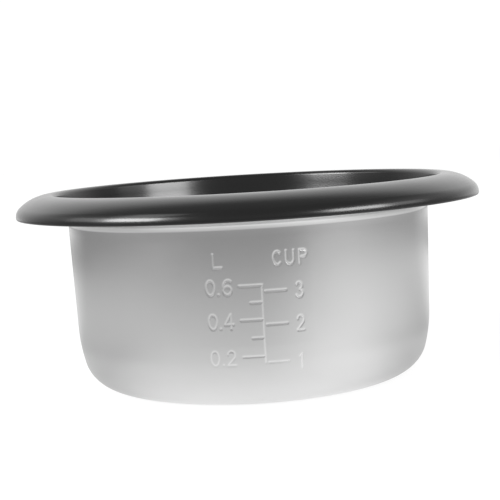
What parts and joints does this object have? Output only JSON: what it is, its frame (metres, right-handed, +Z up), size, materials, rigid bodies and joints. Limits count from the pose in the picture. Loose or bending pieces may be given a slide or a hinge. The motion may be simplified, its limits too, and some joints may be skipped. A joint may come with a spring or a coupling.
{
  "type": "rice cooker inner pot",
  "caption": "Round drawn aluminium inner pot of a rice cooker, with a black non-stick lining, a wide turned-down rim and a water-level scale stamped in the wall.",
  "frame": {"origin": "centre of the resting face under the floor", "axes": "+Z up along the pot's axis towards the mouth, -Y out of the side with the stamped scale, +X to the right of someone reading the scale"},
  "size_m": [0.22, 0.22, 0.0928],
  "materials": {
    "bare_aluminium": "satin",
    "nonstick_black": "satin"
  },
  "bodies": {
    "root": {"pot_shell": "bare_aluminium", "nonstick_coating": "nonstick_black"}
  },
  "joints": []
}
